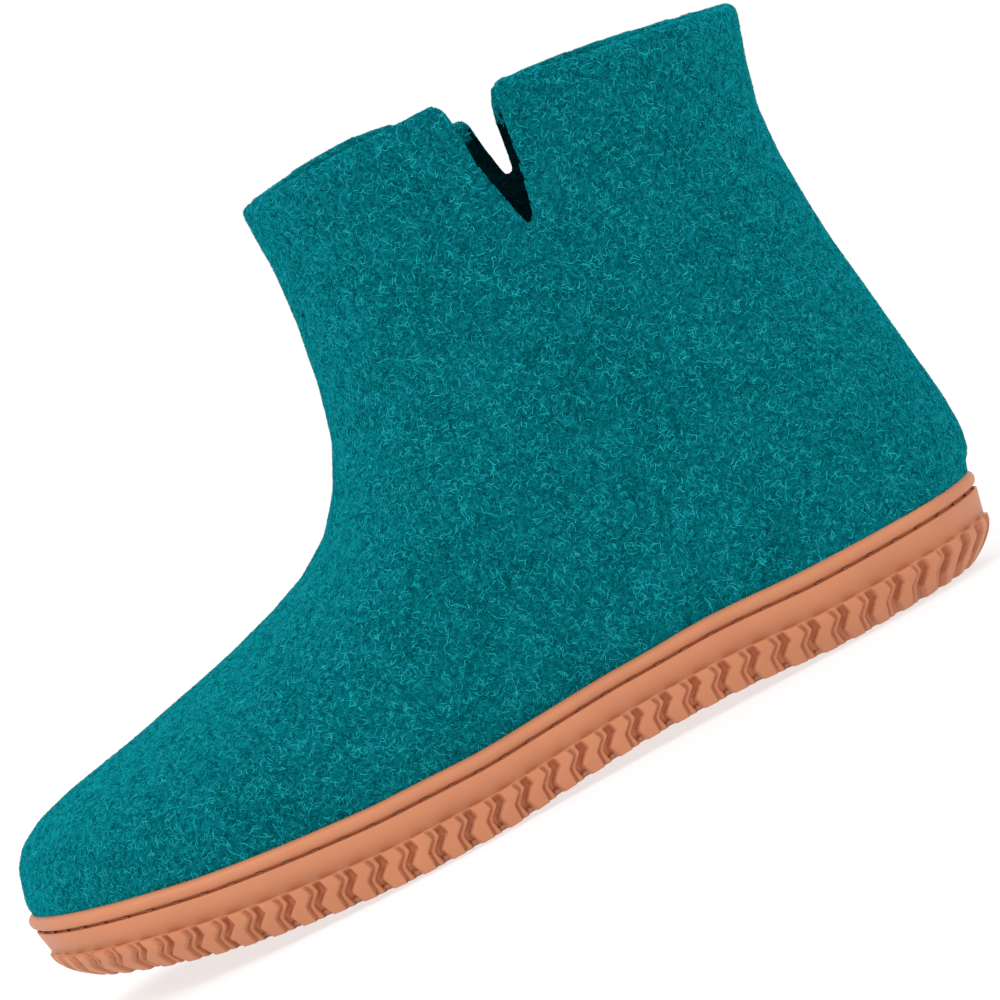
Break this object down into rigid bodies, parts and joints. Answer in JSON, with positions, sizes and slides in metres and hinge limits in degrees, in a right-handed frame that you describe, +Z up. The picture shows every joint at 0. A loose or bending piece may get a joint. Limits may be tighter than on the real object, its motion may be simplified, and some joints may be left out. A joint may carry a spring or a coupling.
{
  "type": "felt boot",
  "caption": "Ankle-high boot of thick seamless wool felt on a stitched rubber sole with a zigzag side tread, with a notch in each side of its collar.",
  "frame": {"origin": "on the floor, under the middle of the boot's bounding box", "axes": "+X from the toe to the heel, +Y to the inner side of the foot, +Z up"},
  "size_m": [0.2894, 0.106, 0.182],
  "materials": {
    "felt": "thick blue-green wool felt with a dense curly nap",
    "footbed_felt": "pressed wool felt",
    "rubber": "satin moulded rubber, warm terracotta"
  },
  "bodies": {
    "root": {"upper": "felt", "insole": "footbed_felt", "welt": "rubber", "midsole": "rubber", "outsole": "rubber"}
  },
  "joints": []
}
